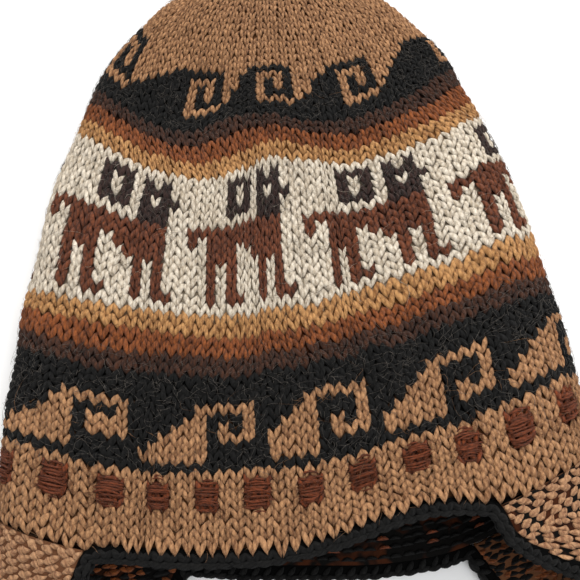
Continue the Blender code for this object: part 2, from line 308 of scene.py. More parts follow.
flapShape = {
    "length": 0.085,
    "foldRadius": 0.009,
    "shareOnTop": 0.36,
    "blend": 0.32,
    "blendFrom": 1.0 / 15.0 + 0.1 * math.sin(math.pi / 15.0),
    "foldRunOut": 1.5,
    "foldTurnsBy": 0.04,
    "swing": 0.026,
    "seamGap": 0.0006,
    "wall": 0.004,
    "steps": 60,
    "columns": 44,
    "ridge": 0.0029,        # distance between rows of garter bumps
    "bump": 0.0034,         # distance between bumps in a row
    "thickness": 0.0015,    # radius of one bump
}
flapSections = {
    "along": (0.00, 0.10, 0.20, 0.40, 0.60, 0.75, 0.87, 0.94, 0.98, 1.00),
    "width": (1.00, 0.94, 0.85, 0.63, 0.43, 0.32, 0.25, 0.18, 0.12, 0.06),
}
flaps = {
    "ear_flap_right": {"side": 1.0, "first": 14.5, "last": 39.5, "opens": 0.80},
    "ear_flap_left": {"side": -1.0, "first": 62.5, "last": 88.5, "opens": 0.95},
}


def rolledSection(fromBack, width, onTop, backEdge, side):
    radius = flapShape["foldRadius"]
    turn = math.pi * (1.0 - math.exp(-onTop / flapShape["foldTurnsBy"]))
    lying = max(width - onTop * width - radius * turn, 0.0)
    bent = np.clip((fromBack - lying) / radius, 0.0, turn)
    past = np.maximum(fromBack - lying - radius * turn, 0.0)
    reach = np.minimum(fromBack, lying) + radius * np.sin(bent) + past * math.cos(turn)
    height = radius * (1.0 - np.cos(bent)) + past * math.sin(turn)
    return side * (backEdge + reach), height


def flapGrid(side, first, last, opens):
    # Outer surface of a flap: rows from the brim to its end, columns from front edge to back edge
    brim, above = knitRow(1.0), knitRow(0.97)
    brimLength = float(np.linalg.norm(np.diff(brim, axis=0), axis=1).sum())
    middle = 0.5 * (first + last) / 104.0
    halfSpan = 0.5 * (last - first) / 104.0
    across = np.linspace(-1.0, 1.0, flapShape["columns"] + 1)
    end = hatShape["length"] + flapShape["length"]
    grid = []
    for along in np.linspace(0.0, 1.0, flapShape["steps"] + 1):
        share = np.interp(along, flapSections["along"], flapSections["width"])
        hanging = pointsOnRow(brim, middle + side * across * halfSpan * share)
        downward = hanging - pointsOnRow(above, middle + side * across * halfSpan * share)
        drift = downward / -downward[:, 1:2]
        slant = np.sum(unit(downward) * unit(np.gradient(hanging, axis=0)), axis=1)
        width = 2.0 * halfSpan * brimLength * share
        onTop = flapShape["shareOnTop"] * max(1.0 - along / opens, 0.0) ** flapShape["foldRunOut"]
        reach, height = rolledSection(
            0.5 * (1.0 - across) * width, width, onTop, side * hanging[-1, 0], side)
        blend = min(max(along - flapShape["blendFrom"], 0.0) / flapShape["blend"], 1.0)
        blend = blend * blend * (3.0 - 2.0 * blend)
        swing = side * flapShape["swing"] * along ** 2
        start = flapShape["seamGap"] / np.sqrt(1.0 - slant ** 2) - hanging[:, 1]
        fallen = along * (end - start)
        x = (1.0 - blend) * (hanging[:, 0] + drift[:, 0] * fallen) + blend * reach - swing
        z = (1.0 - blend) * (hanging[:, 2] + drift[:, 2] * fallen) + blend * height
        grid.append(np.stack((x, -start - fallen, z), axis=1))
    return np.array(grid)


def flapLattice(flap):
    grid = flapGrid(flap["side"], flap["first"], flap["last"], flap["opens"])
    down = np.gradient(grid, axis=0)
    over = np.gradient(grid, axis=1)
    outward = flap["side"] * unit(np.cross(down, over))
    return grid + hatToModel(), outward


def strandTemplate(sides, rings):
    # A closed strand: place along it 0 to 1, direction round it, and how far its end has closed
    mesh = bmesh.new()
    bmesh.ops.create_uvsphere(mesh, u_segments=sides, v_segments=rings + 1, radius=1.0)
    mesh.verts.ensure_lookup_table()
    places = np.array([vertex.co for vertex in mesh.verts])
    faces = [[vertex.index for vertex in face.verts] for face in mesh.faces]
    mesh.free()
    along = np.arccos(np.clip(-places[:, 2], -1.0, 1.0)) / math.pi
    around = unit(places[:, :2])
    around[np.hypot(places[:, 0], places[:, 1]) < 1e-6] = (1.0, 0.0)
    closing = np.hypot(places[:, 0], places[:, 1]) ** 0.55
    cosines, sines = around[:, 0], around[:, 1]
    return {"along": along, "cos": cosines, "sin": sines, "closing": closing, "faces": faces}


def linkPiece(name, mesh, material):
    piece = bpy.data.objects.new(name, mesh)
    bpy.context.scene.collection.objects.link(piece)
    mesh.materials.append(material)
    return piece


def copiesToMesh(name, template, points, tones, material):
    # Joins copies of a strand: points is copies x vertices x 3, tones one number for each copy
    copies, count = points.shape[:2]
    faces = template["faces"]
    sizes = np.array([len(face) for face in faces])
    flat = np.concatenate([np.array(face) for face in faces])
    loops = (flat[None, :] + (np.arange(copies) * count)[:, None]).ravel()
    allSizes = np.tile(sizes, copies)
    mesh = bpy.data.meshes.new(name)
    mesh.vertices.add(copies * count)
    mesh.vertices.foreach_set("co", points.reshape(-1).astype(np.float32))
    mesh.loops.add(len(loops))
    mesh.loops.foreach_set("vertex_index", loops.astype(np.int32))
    mesh.polygons.add(len(allSizes))
    starts = np.concatenate(([0], np.cumsum(allSizes)[:-1]))
    mesh.polygons.foreach_set("loop_start", starts.astype(np.int32))
    mesh.update(calc_edges=True)
    mesh.validate()
    mesh.shade_smooth()
    tone = mesh.attributes.new("tone", "FLOAT", "POINT")
    tone.data.foreach_set("value", np.repeat(tones, count).astype(np.float32))
    twist = mesh.attributes.new("strand", "FLOAT_VECTOR", "POINT")
    first, last = template["along"].argmin(), template["along"].argmax()
    length = np.linalg.norm(points[:, last] - points[:, first], axis=1)
    along = template["along"][None, :] * length[:, None] * 1000.0
    turns = [np.broadcast_to(template[name], along.shape) for name in ("cos", "sin")]
    values = np.stack((along, *turns), axis=-1)
    twist.data.foreach_set("vector", values.reshape(-1).astype(np.float32))
    return linkPiece(name, mesh, material)


def gridPiece(name, columns, rows, place, material, colours=None, closed=False):
    # A grid laid on a surface: place and colours get rows and columns as shares of 0 to 1
    mesh = bmesh.new()
    bmesh.ops.create_grid(mesh, x_segments=columns, y_segments=rows, size=1.0)
    mesh.verts.ensure_lookup_table()
    flat = np.array([vertex.co for vertex in mesh.verts])
    across, along = 0.5 + 0.5 * flat[:, 0], 0.5 + 0.5 * flat[:, 1]
    points = place(along, across)
    for vertex, point in zip(mesh.verts, points):
        vertex.co = point
    if colours is not None:
        layer = mesh.verts.layers.float_color.new("yarn")
        for vertex, colour in zip(mesh.verts, colours(along, across)):
            vertex[layer] = (*colour, 1.0)
    if closed:
        bmesh.ops.remove_doubles(mesh, verts=mesh.verts, dist=0.00002)
    data = bpy.data.meshes.new(name)
    mesh.to_mesh(data)
    mesh.free()
    data.shade_smooth()
    return linkPiece(name, data, material)


def linear(code):
    # sRGB hex to linear light
    parts = [int(code[index:index + 2], 16) / 255.0 for index in (1, 3, 5)]
    return tuple(
        part / 12.92 if part <= 0.04045 else ((part + 0.055) / 1.055) ** 2.4 for part in parts)


def addNode(tree, kind, settings=None, values=None, links=None):
    # Adds a node, sets its settings and input values, and links its inputs to other outputs
    node = tree.nodes.new(kind)
    for name, value in (settings or {}).items():
        setattr(node, name, value)
    for name, value in (values or {}).items():
        node.inputs[name].default_value = value
    for name, output in (links or {}).items():
        tree.links.new(output, node.inputs[name])
    return node


# Alpaca wool, hand-spun in two plies and dyed or left natural: dull, without gloss, with a
# twisted grain along each stitch and a pale bloom of loose fibre where it turns away. Each
# yarn's shade is its darker tone: the dark of its real fibre streaks, and also painted shade in
# the grooves between plies and in the hollows between stitches
yarns = {
    "camel": {"colour": "#BC8C62", "shade": "#724A2C", "sheen": 0.06},
    "black": {"colour": "#141312", "shade": "#020202", "sheen": 0.02},
    "darkBrown": {"colour": "#4A2A19", "shade": "#221109", "sheen": 0.05},
    "rust": {"colour": "#955226", "shade": "#552A10", "sheen": 0.06},
    "lightTan": {"colour": "#C9965F", "shade": "#8C5C31", "sheen": 0.06},
    "cream": {"colour": "#E9DDCB", "shade": "#BCAA91", "sheen": 0.06},
    "llamaRust": {"colour": "#7A4226", "shade": "#412012", "sheen": 0.06},
    "llamaDark": {"colour": "#3D2822", "shade": "#1B100D", "sheen": 0.05},
    "square": {"colour": "#87401C", "shade": "#47220D", "sheen": 0.06},
    "flapCamel": {"colour": "#C0936C", "shade": "#80553A", "sheen": 0.06},
    # Grey for loose fibres on black and dark yarns: painted sheen, the light that fine fibres catch
    "paleFibre": {"colour": "#8A8178", "shade": "#524D48", "sheen": 0.05},
}


def newMaterial(name, roughness, specular):
    material = bpy.data.materials.new(name)
    material.use_nodes = True
    shader = material.node_tree.nodes["Principled BSDF"]
    shader.inputs["Roughness"].default_value = roughness
    shader.inputs["Specular IOR Level"].default_value = specular
    return material, material.node_tree, shader


def woolMaterial(name, yarn):
    material, tree, shader = newMaterial(name, 0.92, 0.18)
    multiply, multiplyAdd = {"operation": "MULTIPLY"}, {"operation": "MULTIPLY_ADD"}
    strand = addNode(tree, "ShaderNodeAttribute", {"attribute_name": "strand"})
    tone = addNode(tree, "ShaderNodeAttribute", {"attribute_name": "tone"})
    parts = addNode(tree, "ShaderNodeSeparateXYZ", links={0: strand.outputs["Vector"]})
    # The angle round a strand starts from its underside, so that the jump in it is never seen
    angle = addNode(
        tree, "ShaderNodeMath", {"operation": "ARCTAN2"},
        links={0: parts.outputs[1], 1: parts.outputs[2]})
    twisted = addNode(
        tree, "ShaderNodeMath", multiplyAdd, {1: 0.75},
        {0: parts.outputs[0], 2: angle.outputs[0]})
    # Plies wind round each other once in about 8 mm
    plies = addNode(tree, "ShaderNodeMath", multiply, {1: 3.0}, {0: twisted.outputs[0]})
    ply = addNode(tree, "ShaderNodeMath", {"operation": "SINE"}, links={0: plies.outputs[0]})
    # Fibres run with the twist; single ones are too fine to show, so they are drawn 0.25 mm apart
    lengthways = addNode(tree, "ShaderNodeMath", multiply, {1: 0.22}, {0: parts.outputs[0]})
    apart = addNode(tree, "ShaderNodeMath", multiply, {1: 40.0}, {0: tone.outputs["Fac"]})
    place = addNode(
        tree, "ShaderNodeCombineXYZ",
        links={0: twisted.outputs[0], 1: lengthways.outputs[0], 2: apart.outputs[0]})
    fibres = addNode(
        tree, "ShaderNodeTexNoise", values={"Scale": 4.0, "Detail": 3.0, "Roughness": 0.7},
        links={"Vector": place.outputs[0]})
    where = addNode(tree, "ShaderNodeTexCoord")
    clumps = addNode(
        tree, "ShaderNodeTexNoise", values={"Scale": 700.0, "Detail": 2.0},
        links={"Vector": where.outputs["Object"]})
    streaks = addNode(
        tree, "ShaderNodeMath", multiplyAdd, {1: 2.4},
        {0: fibres.outputs["Fac"], 2: clumps.outputs["Fac"]})
    # The colour runs between the yarn's shade and its colour raised by 1.15: real fibre streaks and random tone,
    # plus the ply wave, which is painted shade in the grooves between plies and painted highlight on their crests
    grain = addNode(
        tree, "ShaderNodeMath", multiplyAdd, {1: 0.28}, {0: ply.outputs[0], 2: streaks.outputs[0]})
    toned = addNode(
        tree, "ShaderNodeMath", multiplyAdd, {1: 1.8}, {0: tone.outputs["Fac"], 2: grain.outputs[0]})
    ramp = addNode(
        tree, "ShaderNodeMapRange", values={"From Min": 1.05, "From Max": 2.25},
        links={"Value": toned.outputs[0]})
    colour = addNode(tree, "ShaderNodeMix", {"data_type": "RGBA"}, links={0: ramp.outputs[0]})
    colour.inputs[6].default_value = (*linear(yarn["shade"]), 1.0)
    colour.inputs[7].default_value = (*[1.15 * part for part in linear(yarn["colour"])], 1.0)
    tree.links.new(colour.outputs[2], shader.inputs["Base Color"])
    relief = addNode(
        tree, "ShaderNodeMath", multiplyAdd, {1: 0.5}, {0: ply.outputs[0], 2: streaks.outputs[0]})
    bump = addNode(
        tree, "ShaderNodeBump", values={"Strength": 0.9, "Distance": 0.0004},
        links={"Height": relief.outputs[0]})
    tree.links.new(bump.outputs[0], shader.inputs["Normal"])
    shader.inputs["Sheen Weight"].default_value = yarn["sheen"]
    shader.inputs["Sheen Roughness"].default_value = 0.6
    return material


def groundMaterial(name):
    # The fabric deep between stitches: each yarn's shade colour, darkened further and mottled by fibre noise, as
    # painted shade in the hollows
    material, tree, shader = newMaterial(name, 0.95, 0.1)
    yarn = addNode(tree, "ShaderNodeAttribute", {"attribute_name": "yarn"})
    place = addNode(tree, "ShaderNodeTexCoord")
    fibres = addNode(
        tree, "ShaderNodeTexNoise", values={"Scale": 1500.0, "Detail": 3.0},
        links={"Vector": place.outputs["Object"]})
    colour = addNode(
        tree, "ShaderNodeMix", {"data_type": "RGBA", "blend_type": "MULTIPLY"}, {0: 0.6},
        {6: yarn.outputs["Color"], 7: fibres.outputs["Fac"]})
    tree.links.new(colour.outputs[2], shader.inputs["Base Color"])
    bump = addNode(
        tree, "ShaderNodeBump", values={"Strength": 0.5, "Distance": 0.0004},
        links={"Height": fibres.outputs["Fac"]})
    tree.links.new(bump.outputs[0], shader.inputs["Normal"])
    return material


def floatsInShadeMaterial(name):
    # Black and rust yarn carried behind the stitches, with rust showing in patches; both are darkened much
    # further as painted shade of the hat's inside
    material, tree, shader = newMaterial(name, 0.95, 0.1)
    place = addNode(tree, "ShaderNodeTexCoord")
    patches = addNode(
        tree, "ShaderNodeTexNoise", values={"Scale": 110.0, "Detail": 2.0},
        links={"Vector": place.outputs["Object"]})
    strength = addNode(
        tree, "ShaderNodeMapRange", values={"From Min": 0.50, "From Max": 0.62},
        links={"Value": patches.outputs["Fac"]})
    colour = addNode(tree, "ShaderNodeMix", {"data_type": "RGBA"}, links={0: strength.outputs[0]})
    # Near-black and a dim rust: the real floats' colours, darkened as painted shade
    colour.inputs[6].default_value = (*linear("#0A0908"), 1.0)
    colour.inputs[7].default_value = (*linear("#3A1C0D"), 1.0)
    tree.links.new(colour.outputs[2], shader.inputs["Base Color"])
    strands = addNode(
        tree, "ShaderNodeTexNoise", values={"Scale": 900.0, "Detail": 3.0},
        links={"Vector": place.outputs["Object"]})
    bump = addNode(
        tree, "ShaderNodeBump", values={"Strength": 0.8, "Distance": 0.0006},
        links={"Height": strands.outputs["Fac"]})
    tree.links.new(bump.outputs[0], shader.inputs["Normal"])
    return material


wool = {name: woolMaterial("alpaca_wool_" + name, yarn) for name, yarn in yarns.items()}
ground = groundMaterial("knitted_ground")
floatsInShade = floatsInShadeMaterial("yarn_floats_inside")
hatLattice = knittedLattice()
print("surface ready")


view = {
    "place": (-0.0036, -0.2412, 0.292),     # from the hat's tip line
    "lean": (0.0576, 0.998),
    "tilt": 15.8,                           # degrees from straight down
    "lens": 43.51,
}


def addCamera():
    tilt = math.radians(view["tilt"])
    lean = Vector((*view["lean"], 0.0)).normalized()
    forward = math.sin(tilt) * lean - math.cos(tilt) * Vector((0, 0, 1))
    up = math.cos(tilt) * lean + math.sin(tilt) * Vector((0, 0, 1))
    right = forward.cross(up)
    data = bpy.data.cameras.new("camera")
    data.lens = view["lens"]
    data.sensor_width = 36.0
    data.clip_start = 0.01
    camera = bpy.data.objects.new("camera", data)
    bpy.context.scene.collection.objects.link(camera)
    turn = Matrix((right, up, -forward)).transposed().to_4x4()
    camera.matrix_world = Matrix.Translation(Vector(view["place"]) + Vector(hatToModel())) @ turn
    bpy.context.scene.camera = camera


def addLight(name, place, target, size, power, colour):
    data = bpy.data.lights.new(name, "AREA")
    data.shape = "DISK"
    data.size = size
    data.energy = power
    data.color = colour
    light = bpy.data.objects.new(name, data)
    light.location = place
    light.rotation_euler = (Vector(target) - Vector(place)).to_track_quat("-Z", "Y").to_euler()
    bpy.context.scene.collection.objects.link(light)


def addFloor():
    mesh = bmesh.new()
    bmesh.ops.create_grid(mesh, x_segments=1, y_segments=1, size=1.6)
    data = bpy.data.meshes.new("floor")
    mesh.to_mesh(data)
    mesh.free()
    # Matt white table top, plain
    material = bpy.data.materials.new("matt_white_paint")
    material.use_nodes = True
    shader = material.node_tree.nodes["Principled BSDF"]
    shader.inputs["Base Color"].default_value = (0.87, 0.87, 0.87, 1.0)
    shader.inputs["Roughness"].default_value = 0.7
    floor = linkPiece("floor", data, material)
    floor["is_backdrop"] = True


def addSurroundings():
    scene = bpy.context.scene
    scene.view_settings.view_transform = "Standard"
    world = bpy.data.worlds.new("studio")
    world.use_nodes = True
    world.node_tree.nodes["Background"].inputs["Color"].default_value = (1.0, 1.0, 1.0, 1.0)
    world.node_tree.nodes["Background"].inputs["Strength"].default_value = 0.72
    scene.world = world
    addLight("key", (0.10, 0.95, 0.90), (0.0, 0.0, 0.0), 0.9, 14.5, (1.0, 0.985, 0.96))
    addLight("fill", (0.7, -0.2, 0.9), (0.0, 0.0, 0.0), 0.9, 5.0, (0.97, 0.985, 1.0))


addCamera()
addFloor()
addSurroundings()
print("camera, floor and light ready")


# T is camel, a dot is black; rows run down from the crest. The knitter varied the curls: the
# first two have their own charts
waveLow = {
    "starts": (-20, -9, 0, 10, 20, 31, 42, 52, 63, 73),
    "topRow": 14,
    "height": 6,
    "rows": (
        ("TTTTT.", "T...T.", "T.TTT.", "T.TTT.", "T.....", "T....."),
        ("TTTTT.", "T...T.", "T.T.T.", "T.TTT.", "T.....", "T....."),
        ("TTTTT.", "T...T.", "T...T.", "T.T.T.", "T.TTT.", "T....."),
    ),
}
waveHigh = {
    "starts": (-22, -11, -3, 6, 19, 31, 44, 57),
    "topRow": 52,
    "height": 6,
    "rows": (".....", ".TTT.", ".T.T.", ".T.T.", ".T...", ".TTTT"),
    "widest": 10,           # stitches from a start to the end of the longest slope
}
# d is the dark head and neck, r the rust body and legs, on cream
llamas = {
    "starts": (-24, -11, 2, 15, 28, 41, 54, 67),
    "topRow": 37,
    "height": 13,
    "rows": (
        "....ddd.d.d.", "....d.d.ddd.", "....d.d.d.dd", "....ddd.ddd.", "........ddd.",
        "rrrrrrrrrrr.", "r.rrrrrrrrr.", "..rrr.rrrrr.", "..rrr..rrrr.", "..r.r...r.r.",
        "..r.r...r.r.", "..r.r...r.r.", "..r.rr..r.rr",
    ),
}
bands = (
    (0, 8, "camel"), (8, 18, "black"), (18, 20, "darkBrown"), (20, 22, "rust"), (22, 24, "lightTan"),
    (24, 39, "cream"), (39, 41, "lightTan"), (41, 43, "rust"), (43, 45, "darkBrown"), (45, 53, "black"),
    (53, 76, "camel"),
)


def yarnAt(row, stitch):
    colour = next(name for first, last, name in bands if first <= row < last)
    if 4 <= row <= 6 and stitch % 4 in (3, 0):
        return "square"
    for chart in (waveLow, waveHigh, llamas):
        line = chart["topRow"] - row
        if not 0 <= line < chart["height"]:
            continue
        count = knitting["crestStitches"] if chart is waveHigh else knitting["stitches"]
        starts = [*chart["starts"], chart["starts"][0] + count]
        inside = (stitch - starts[0]) % count + starts[0]
        index = max(i for i, start in enumerate(starts) if start <= inside)
        column, width = inside - starts[index], starts[index + 1] - starts[index]
        if chart is waveLow:
            if column < 6:
                return "camel" if chart["rows"][min(index, 2)][line][column] == "T" else "black"
            return "camel" if line and column >= max(width - line, 6) else "black"
        if chart is waveHigh:
            if column < 5:
                return "camel" if chart["rows"][line][column] == "T" else "black"
            edge = 5 + (min(width, chart["widest"]) - 5) * (5 - line) / 5
            return "camel" if column + 0.5 < edge else "black"
        mark = chart["rows"][line][column] if column < 12 else "."
        return {"d": "llamaDark", "r": "llamaRust", ".": "cream"}[mark]
    return colour


def stitchesInRow(row):
    if row < knitting["crestFrom"]:
        return knitting["stitches"]
    if row < knitting["crownFrom"]:
        return knitting["crestStitches"]
    around = np.arange(4 * knitting["stitches"] + 1) / 4.0
    points = onHat(np.full(len(around), row + 0.5), around, np.zeros(len(around)))
    length = float(np.linalg.norm(np.diff(points, axis=0), axis=1).sum())
    wedge = length / (knitting["crownWedges"] * knitting["stitchWidth"])
    return knitting["crownWedges"] * int(np.clip(round(wedge), 1, 7))


# One leg of a stitch: shares along it, places in stitches and rows, height and thickness in mm
legShape = {
    "along": (0.00, 0.15, 0.35, 0.55, 0.75, 0.90, 1.00),
    "across": (-0.02, 0.04, 0.14, 0.26, 0.38, 0.47, 0.52),
    "up": (-0.42, -0.16, 0.22, 0.62, 1.04, 1.38, 1.60),
    "lift": (-2.20, -1.35, -0.72, -0.56, -0.74, -1.25, -2.05),
    "radius": (0.36, 0.58, 0.76, 0.82, 0.78, 0.62, 0.40),
}


def listStitches():
    stitches = []
    for row in range(knitting["rows"]):
        count = stitchesInRow(row)
        for index in range(count):
            middle = (index + 0.5) * 104.0 / count
            yarn = yarnAt(row, index)
            stitches.append((row, middle, 104.0 / count, yarn))
    return stitches


def straying(rows, middles):
    # Columns of stitches sit a little higher or lower than their neighbours, and wander sideways
    column = np.round(middles).astype(int) % 104
    high = np.minimum(rows / 6.0, 12.999)
    low = np.floor(high).astype(int)
    part = (high - low)[:, None]
    return columnDrift[low, column] * (1.0 - part) + columnDrift[low + 1, column] * part


# How far columns of stitches stray along and across, in rows and stitches
columnSway = (0.15, 0.03)
columnDrift = chance.normal(0.0, 1.0, (14, 104, 2)) * columnSway


def legPoints(template, rows, middles, widths, sides, lifted):
    along = template["along"]
    shape = {name: np.interp(along, legShape["along"], values) for name, values in legShape.items()}
    count, uneven = len(rows), knitting["unevenness"]
    wobble = 1.0 + uneven * chance.normal(0.0, 0.16, (count, 4))
    shift = uneven * chance.normal(0.0, 0.16, (count, 4))
    drift = straying(rows, middles)
    radius = shape["radius"] * template["closing"]
    slope = np.gradient(np.array(legShape["across"])) * knitting["stitchWidth"]
    rise = np.gradient(np.array(legShape["up"])) * knitting["rowHeight"]
    lean = np.interp(along, legShape["along"], np.arctan2(slope, rise))
    side = radius * template["cos"] * 0.001
    across = shape["across"] * wobble[:, 0:1] + 0.5 * shift[:, 0:1]
    across = across + 1.2 * (along - 0.5) * shift[:, 3:4]
    across = across + side * np.cos(lean) / knitting["stitchWidth"] * wobble[:, 1:2]
    up = shape["up"] * wobble[:, 2:3] + 0.8 * shift[:, 1:2]
    up = up - side * np.sin(lean) / knitting["rowHeight"]
    lift = shape["lift"] + radius * template["sin"] * 0.92 * wobble[:, 1:2]
    lift = np.minimum(lift + shift[:, 2:3] * 1.2 + lifted, 0.6 + lifted)
    # The first row's loops hang over the edging, some lower than others
    turn = middles % knitting["stitches"]
    onFlap = [(flap["first"] - 1 < turn) & (turn < flap["last"] + 1) for flap in flaps.values()]
    free = ~np.any(onFlap, axis=0)
    hanging = ((rows < 1) & free)[:, None] * np.clip(1.0 - 1.6 * along, 0.0, 1.0)
    loose = np.abs(drift[:, 0:1]) / columnSway[0]
    up = up - hanging * (0.15 + 0.35 * loose * 0.5)
    lift = lift + hanging * 2.3
    stitch = middles[:, None] + (drift[:, 1:2] + sides[:, None] * across) * widths[:, None]
    return onHat(rows[:, None] + up + drift[:, 0:1], stitch, lift * 0.001)


def addStitches(stitches):
    # The visible front gets rounder strands than the back
    fine, coarse = strandTemplate(5, 4), strandTemplate(4, 3)
    zones = {"brim": (0, 8), "wave": (8, 24), "llama": (24, 39), "crest": (39, 53), "crown": (53, 76)}
    pieces = []
    for zone, (first, last) in zones.items():
        inZone = [stitch for stitch in stitches if first <= stitch[0] < last]
        for yarn in sorted({stitch[3] for stitch in inZone}):
            places = np.array([stitch[:3] for stitch in inZone if stitch[3] == yarn], dtype=float)
            facing = (places[:, 1] < 29) | (places[:, 1] > 75)
            lifted = knitting["underSquares"] if yarn == "square" else 0.0
            for part, mask, template in (("front", facing, fine), ("back", ~facing, coarse)):
                if not mask.any():
                    continue
                rows, middles, widths = places[mask].T
                legs = []
                for side in (-1.0, 1.0):
                    sides = np.full(len(rows), side)
                    points = legPoints(template, rows, middles, widths, sides, lifted)
                    legs.append((points, chance.normal(0.0, 0.09, len(rows))))
                # The left leg is the mirror of the right one, so its faces are turned round
                turned = dict(template, faces=[face[::-1] for face in template["faces"]])
                for side, strand, (points, tones) in zip("lr", (turned, template), legs):
                    name = "stitches_%s_%s_%s_%s" % (zone, yarn, part, side)
                    pieces.append(copiesToMesh(name, strand, points, tones, wool[yarn]))
    return pieces


def joinPieces(pieces):
    # Joins the left and right legs of each yarn into one piece
    groups = {}
    for piece in pieces:
        groups.setdefault(piece.name[:-2], []).append(piece)
    joined = []
    for name, members in groups.items():
        first = members[0]
        chosen = {"selected_objects": members, "selected_editable_objects": members}
        with bpy.context.temp_override(active_object=first, object=first, **chosen):
            bpy.ops.object.join()
        first.name = name
        first.data.name = name
        joined.append(first)
    return joined


def groundColours(along, across):
    rows = np.minimum((along * knitting["rows"]).astype(int), knitting["rows"] - 1)
    counts = np.where(rows < knitting["crestFrom"], knitting["stitches"], knitting["crestStitches"])
    columns = np.floor(across * counts).astype(int) % counts
    # Painted shade: each yarn's shade, darkened by 0.85 for the hollows between stitches
    shades = {name: np.array(linear(yarn["shade"])) * 0.85 for name, yarn in yarns.items()}
    names = [yarnAt(int(row), int(column)) for row, column in zip(rows, columns)]
    # Beside the edging the fabric's edge is black
    return [shades["black" if share < 0.008 else name] for share, name in zip(along, names)]


def addWall(piece, thickness, offset):
    # The wrong side of the wall takes the second material
    wall = piece.modifiers.new("wall", "SOLIDIFY")
    wall.thickness = thickness
    wall.offset = offset
    wall.material_offset = 1
    piece.data.materials.append(floatsInShade)


def addGround():
    def place(along, across):
        depth = np.full(along.shape, -0.0017)
        return onHat(along * knitting["rows"], across * knitting["stitches"], depth)
    piece = gridPiece("knit_ground", 130, 95, place, ground, groundColours, closed=True)
    addWall(piece, 0.0017, -1.0)
    return piece


stitches = listStitches()
print("stitches listed:", len(stitches))
body = addGround()
legs = joinPieces(addStitches(stitches))
for piece in (body, *legs):
    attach(piece, "root")
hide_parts("knit_body")
print("body knitted:", len(legs), "pieces")


squares = {"strands": 17, "radius": 0.46, "lift": 0.30, "width": 2.2, "height": 3.3}


def addSquares():
    template = strandTemplate(4, 5)
    along = template["along"][None, :]
    starts = np.arange(0, 104, 4)
    number = len(starts) * squares["strands"]
    middle = np.repeat(starts, squares["strands"]).astype(float)
    level = np.tile((np.arange(squares["strands"]) + 0.5) / squares["strands"], len(starts))
    wobble = chance.normal(0.0, 1.0, (number, 5))
    # Shorter at the top and bottom, so that the corners are round
    half = 0.5 * squares["width"] * (1.0 - 0.55 * np.abs(2.0 * level - 1.0) ** 2.5)
    half = half * (1.0 + 0.08 * wobble[:, 0])
    radius = template["closing"] * squares["radius"] * (1.0 + 0.15 * wobble[:, 1:2])
    stitch = middle[:, None] + 0.12 * wobble[:, 2:3] + (2.0 * along - 1.0) * half[:, None]
    row = 3.95 + level[:, None] * squares["height"] + 0.12 * wobble[:, 3:4]
    row = row + 0.22 * np.sin(math.pi * along) * wobble[:, 4:5]
    row = row + radius * template["cos"] * 0.001 / knitting["rowHeight"]
    lift = squares["lift"] - 0.9 * np.abs(2.0 * along - 1.0) ** 3
    lift = lift - 0.5 * np.abs(2.0 * level[:, None] - 1.0) ** 3
    lift = lift + radius * template["sin"]
    where = onHat(row, stitch, lift * 0.001)
    tones = chance.normal(0.0, 0.1, number)
    return copiesToMesh("square_puffs", template, where, tones, wool["square"])


def addInside():
    template = strandTemplate(4, 3)
    along = template["along"][None, :]
    places = [(row, stitch) for row in range(0, 14) for stitch in range(104)]
    number = len(places)
    places = np.array(places, dtype=float)
    wobble = chance.normal(0.0, 1.0, (number, 4))
    radius = template["closing"] * (0.85 + 0.1 * wobble[:, 0:1])
    stitch = places[:, 1:2] + (along - 0.5) * 1.15 + 0.1 * wobble[:, 1:2]
    row = places[:, 0:1] + 0.5 + 0.1 * wobble[:, 2:3] + 0.25 * np.sin(math.pi * along)
    row = row + radius * template["cos"] * 0.0010 / knitting["rowHeight"]
    lift = -3.55 - 0.3 * np.sin(math.pi * along)
    lift = lift + radius * template["sin"] * 0.8 + 0.1 * wobble[:, 3:4]
    where = onHat(row, stitch, lift * 0.001)
    # Black yarn is carried behind the camel, and rust behind the squares
    drift = np.sin(places[:, 1] * math.pi / 2.0) + chance.normal(0.0, 0.5, number)
    rust = (drift > 0.75) & (places[:, 0] > 0)
    pieces = []
    for name, yarn, mask in (("inside_black", "black", ~rust), ("inside_rust", "square", rust)):
        tones = chance.normal(0.0, 0.08, mask.sum())
        pieces.append(copiesToMesh(name, template, where[mask], tones, wool[yarn]))
    return pieces


fibres = {
    # For each yarn, how many long and short ones lie on the whole hat, and their colour; fibres on black and dark
    # yarns are painted pale grey as painted sheen
    "camel": (380, 2400, "camel"),
    "black": (560, 2900, "paleFibre"),
    "cream": (150, 900, "cream"),
    "llamaRust": (120, 900, "llamaRust"),
    "llamaDark": (120, 800, "paleFibre"),
    "rust": (80, 600, "rust"),
    "darkBrown": (140, 700, "paleFibre"),
    "lightTan": (60, 400, "lightTan"),
    "square": (60, 1100, "square"),
}
fibreSizes = {
    # length and height from and to, and radius, in mm
    "long": (5.0, 14.0, 0.2, 1.6, 0.055),
    "short": (2.0, 5.5, 0.1, 0.9, 0.070),
}


